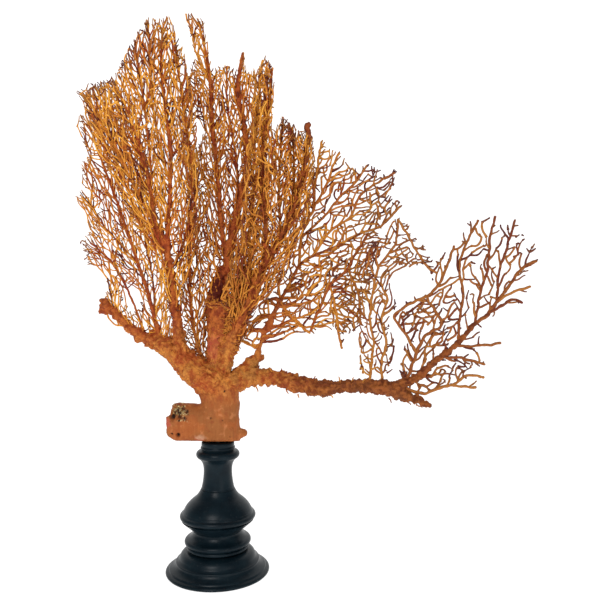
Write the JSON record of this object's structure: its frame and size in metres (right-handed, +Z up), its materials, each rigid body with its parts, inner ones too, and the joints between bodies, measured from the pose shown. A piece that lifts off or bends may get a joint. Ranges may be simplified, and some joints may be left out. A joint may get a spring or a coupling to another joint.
{
  "type": "sea fan on a turned stand",
  "caption": "Dried sea fan with a sawn trunk, spreading limbs and lacy twigs, pinned on a turned black-painted wooden stand.",
  "frame": {"origin": "centre of the stand's flat underside", "axes": "+Z up, the face that the fan shows to a viewer looks along -Y, +X to the viewer's right, along the long arm"},
  "size_m": [0.5161, 0.108, 0.6051],
  "materials": {
    "black_paint": "satin black paint on turned wood",
    "pin_steel": "plain steel rod",
    "coral_bark": "dry salmon-tan bark of the trunk, worn and streaked",
    "coral_twigs": "dry orange-brown twigs with red-brown shadows and purple tips"
  },
  "bodies": {
    "root": {"stand": "black_paint", "mounting_pin": "pin_steel", "trunk": "coral_bark", "left_limb": "coral_twigs", "left_stem": "coral_twigs", "back_stem": "coral_twigs", "front_stem": "coral_twigs", "broken_stem": "coral_twigs", "right_stem": "coral_twigs", "right_arm": "coral_twigs", "arm_fan": "coral_twigs", "arm_riser": "coral_twigs"}
  },
  "joints": []
}
